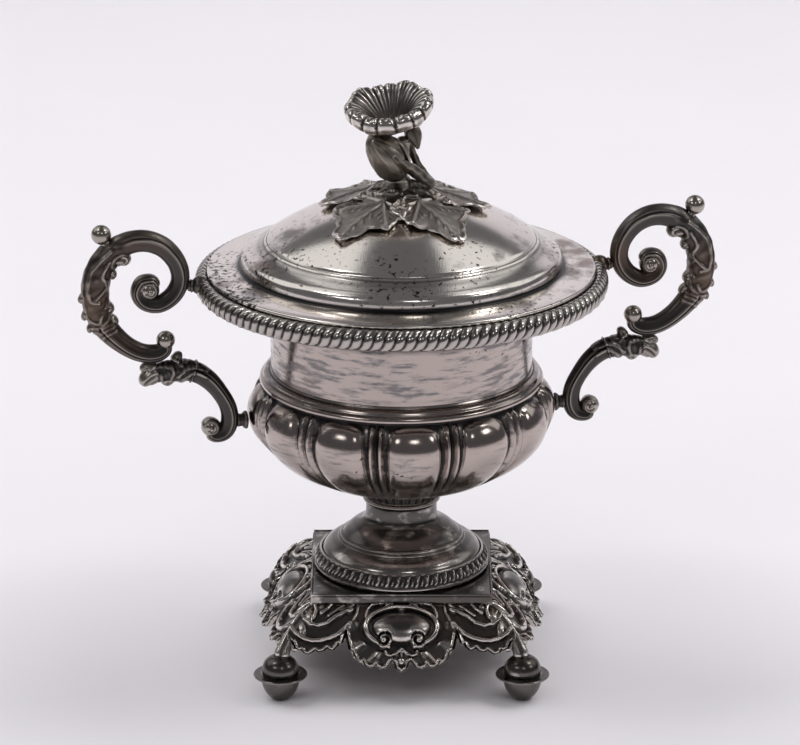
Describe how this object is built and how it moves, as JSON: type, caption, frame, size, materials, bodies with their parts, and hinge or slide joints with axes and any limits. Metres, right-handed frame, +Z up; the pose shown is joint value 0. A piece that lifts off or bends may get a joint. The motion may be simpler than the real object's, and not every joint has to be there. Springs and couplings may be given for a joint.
{
  "type": "covered sugar bowl",
  "caption": "Covered silver sugar bowl with a lobed body, scroll handles, floral finial, and a square stand on ball feet; the lid lifts off.",
  "frame": {"origin": "on the surface that it stands on, below the bowl's axis, midway between the four feet", "axes": "+Z up along the bowl's axis; +X to the right with the square stand's front facing -Y; the handles lie 10 degrees anticlockwise of X"},
  "size_m": [0.185, 0.1202, 0.1726],
  "materials": {
    "bright_silver": "polished silver with pinkish tarnish",
    "oxidised_silver": "cast silver, oxidised dark in the recesses, worn bright on the edges",
    "brass_fitting": "plain turned brass"
  },
  "bodies": {
    "bowl": {"apron_back": "oxidised_silver", "apron_front": "oxidised_silver", "apron_left": "oxidised_silver", "apron_right": "oxidised_silver", "belly_joint_left": "oxidised_silver", "belly_joint_right": "oxidised_silver", "bowl_shell": "bright_silver", "corner_leg_back_left": "oxidised_silver", "corner_leg_back_right": "oxidised_silver", "corner_leg_front_left": "oxidised_silver", "corner_leg_front_right": "oxidised_silver", "foot_ball_back_left": "oxidised_silver", "foot_ball_back_right": "oxidised_silver", "foot_ball_front_left": "oxidised_silver", "foot_ball_front_right": "oxidised_silver", "foot_flange_back_left": "bright_silver", "foot_flange_back_right": "bright_silver", "foot_flange_front_left": "bright_silver", "foot_flange_front_right": "bright_silver", "lower_scroll_left": "oxidised_silver", "lower_scroll_right": "oxidised_silver", "pedestal": "bright_silver", "pedestal_border": "oxidised_silver", "pedestal_collar": "oxidised_silver", "plinth": "bright_silver", "rim_border": "oxidised_silver", "rim_knob_left": "oxidised_silver", "rim_knob_right": "oxidised_silver", "tie_nut": "brass_fitting", "tie_rod": "brass_fitting", "tie_washer": "brass_fitting", "upper_scroll_left": "oxidised_silver", "upper_scroll_right": "oxidised_silver"},
    "lid": {"bud_stem": "oxidised_silver", "finial_bud": "oxidised_silver", "finial_flower": "oxidised_silver", "finial_leaf_back_left": "oxidised_silver", "finial_leaf_back_right": "oxidised_silver", "finial_leaf_front_left": "oxidised_silver", "finial_leaf_front_right": "oxidised_silver", "finial_nut": "brass_fitting", "finial_rosette": "oxidised_silver", "finial_stem": "oxidised_silver", "finial_stud": "brass_fitting", "finial_washer": "brass_fitting", "flower_calyx": "oxidised_silver", "flower_stem": "oxidised_silver", "lid_bezel": "bright_silver", "lid_shell": "bright_silver"}
  },
  "joints": [
    {"name": "lid_lift", "type": "slide", "parent": "bowl", "child": "lid", "axis": [0, 0, 1], "range_m": [0, 0.06]}
  ]
}
